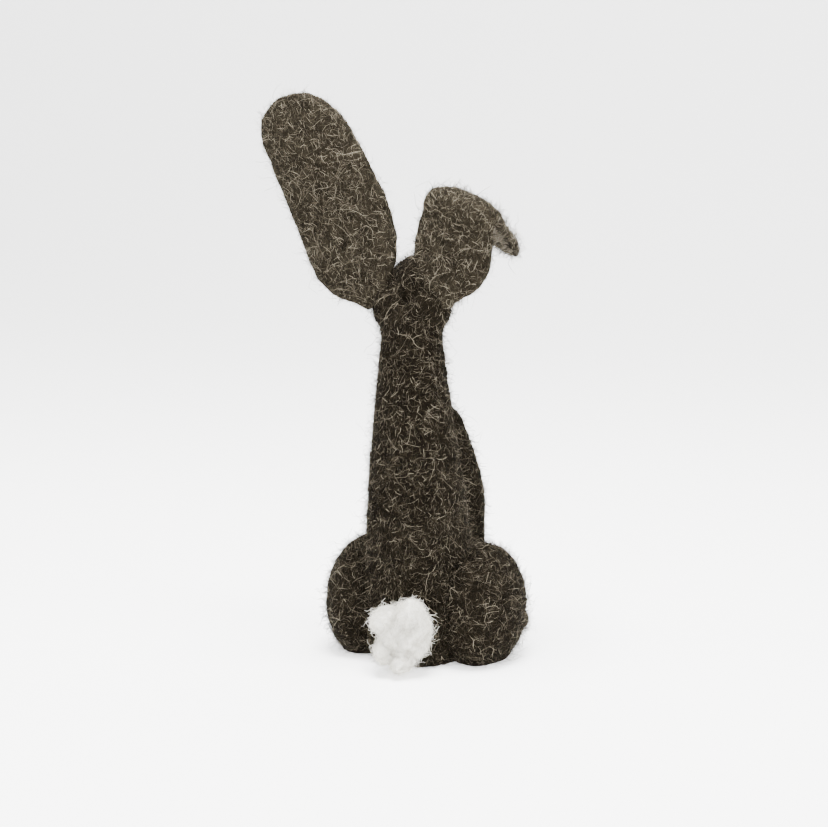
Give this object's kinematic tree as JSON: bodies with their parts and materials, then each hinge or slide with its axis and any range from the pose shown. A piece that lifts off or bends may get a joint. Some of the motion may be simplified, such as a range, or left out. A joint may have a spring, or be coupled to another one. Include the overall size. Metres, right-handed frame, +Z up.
{
  "type": "needle-felted hare figure",
  "caption": "Free-standing needle-felted wool hare that sits upright on its haunches, with a wired neck and wired ears that bend and hold a pose.",
  "frame": {"origin": "on the floor plane, under the middle of the torso, in the flat underside of the coat", "axes": "+Z up, the hare faces -Y, its left side is +X"},
  "size_m": [0.0904, 0.0866, 0.1987],
  "materials": {
    "dark_wool": "matte",
    "grey_wool": "matte",
    "core_wool": "matte",
    "white_wool": "matte",
    "black_wool": "matte",
    "bead": "gloss",
    "steel": "satin"
  },
  "bodies": {
    "torso": {"body_coat": "dark_wool", "body_core": "core_wool", "spine_wire": "steel", "left_haunch": "dark_wool", "right_haunch": "dark_wool", "left_hind_foot": "dark_wool", "right_hind_foot": "dark_wool", "left_foreleg": "dark_wool", "right_foreleg": "dark_wool", "left_foreleg_wire": "steel", "right_foreleg_wire": "steel", "tail": "white_wool"},
    "neck": {"neck_coat": "dark_wool", "neck_wire": "steel"},
    "head": {"head_coat": "dark_wool", "head_core": "core_wool", "head_wire": "steel", "muzzle": "grey_wool", "nose": "black_wool", "left_eye": "bead", "right_eye": "bead"},
    "left_ear": {"left_ear_back": "dark_wool", "left_ear_lining": "grey_wool", "left_ear_wire": "steel"},
    "left_ear_tip": {"left_ear_tip_back": "dark_wool", "left_ear_tip_lining": "grey_wool", "left_ear_tip_wire": "steel"},
    "right_ear": {"right_ear_back": "dark_wool", "right_ear_lining": "grey_wool", "right_ear_wire": "steel"},
    "right_ear_tip": {"right_ear_tip_back": "dark_wool", "right_ear_tip_lining": "grey_wool", "right_ear_tip_wire": "steel"}
  },
  "joints": [
    {"name": "head_turn", "type": "hinge", "parent": "torso", "child": "neck", "pos_m": [0, 0.001, 0.097], "axis": [0, 0, 1], "range_deg": [-40, 40]},
    {"name": "head_nod", "type": "hinge", "parent": "neck", "child": "head", "pos_m": [0, 0.002, 0.116], "axis": [1, 0, 0], "range_deg": [-20, 20]},
    {"name": "left_ear_bend", "type": "hinge", "parent": "head", "child": "left_ear", "pos_m": [0.0115, 0.0035, 0.126], "axis": [0.8988, 0, -0.4384], "range_deg": [-35, 12]},
    {"name": "left_ear_fold", "type": "hinge", "parent": "left_ear", "child": "left_ear_tip", "pos_m": [0.02662, 0.0015, 0.15701], "axis": [0.8988, 0, -0.4384], "range_deg": [0, 110]},
    {"name": "right_ear_bend", "type": "hinge", "parent": "head", "child": "right_ear", "pos_m": [-0.0082, 0.0035, 0.126], "axis": [0.9249, -0.2079, 0.3185], "range_deg": [-35, 12]},
    {"name": "right_ear_fold", "type": "hinge", "parent": "right_ear", "child": "right_ear_tip", "pos_m": [-0.01982, 0.00154, 0.15848], "axis": [0.8858, -0.2068, 0.4155], "range_deg": [-112, 15]}
  ]
}
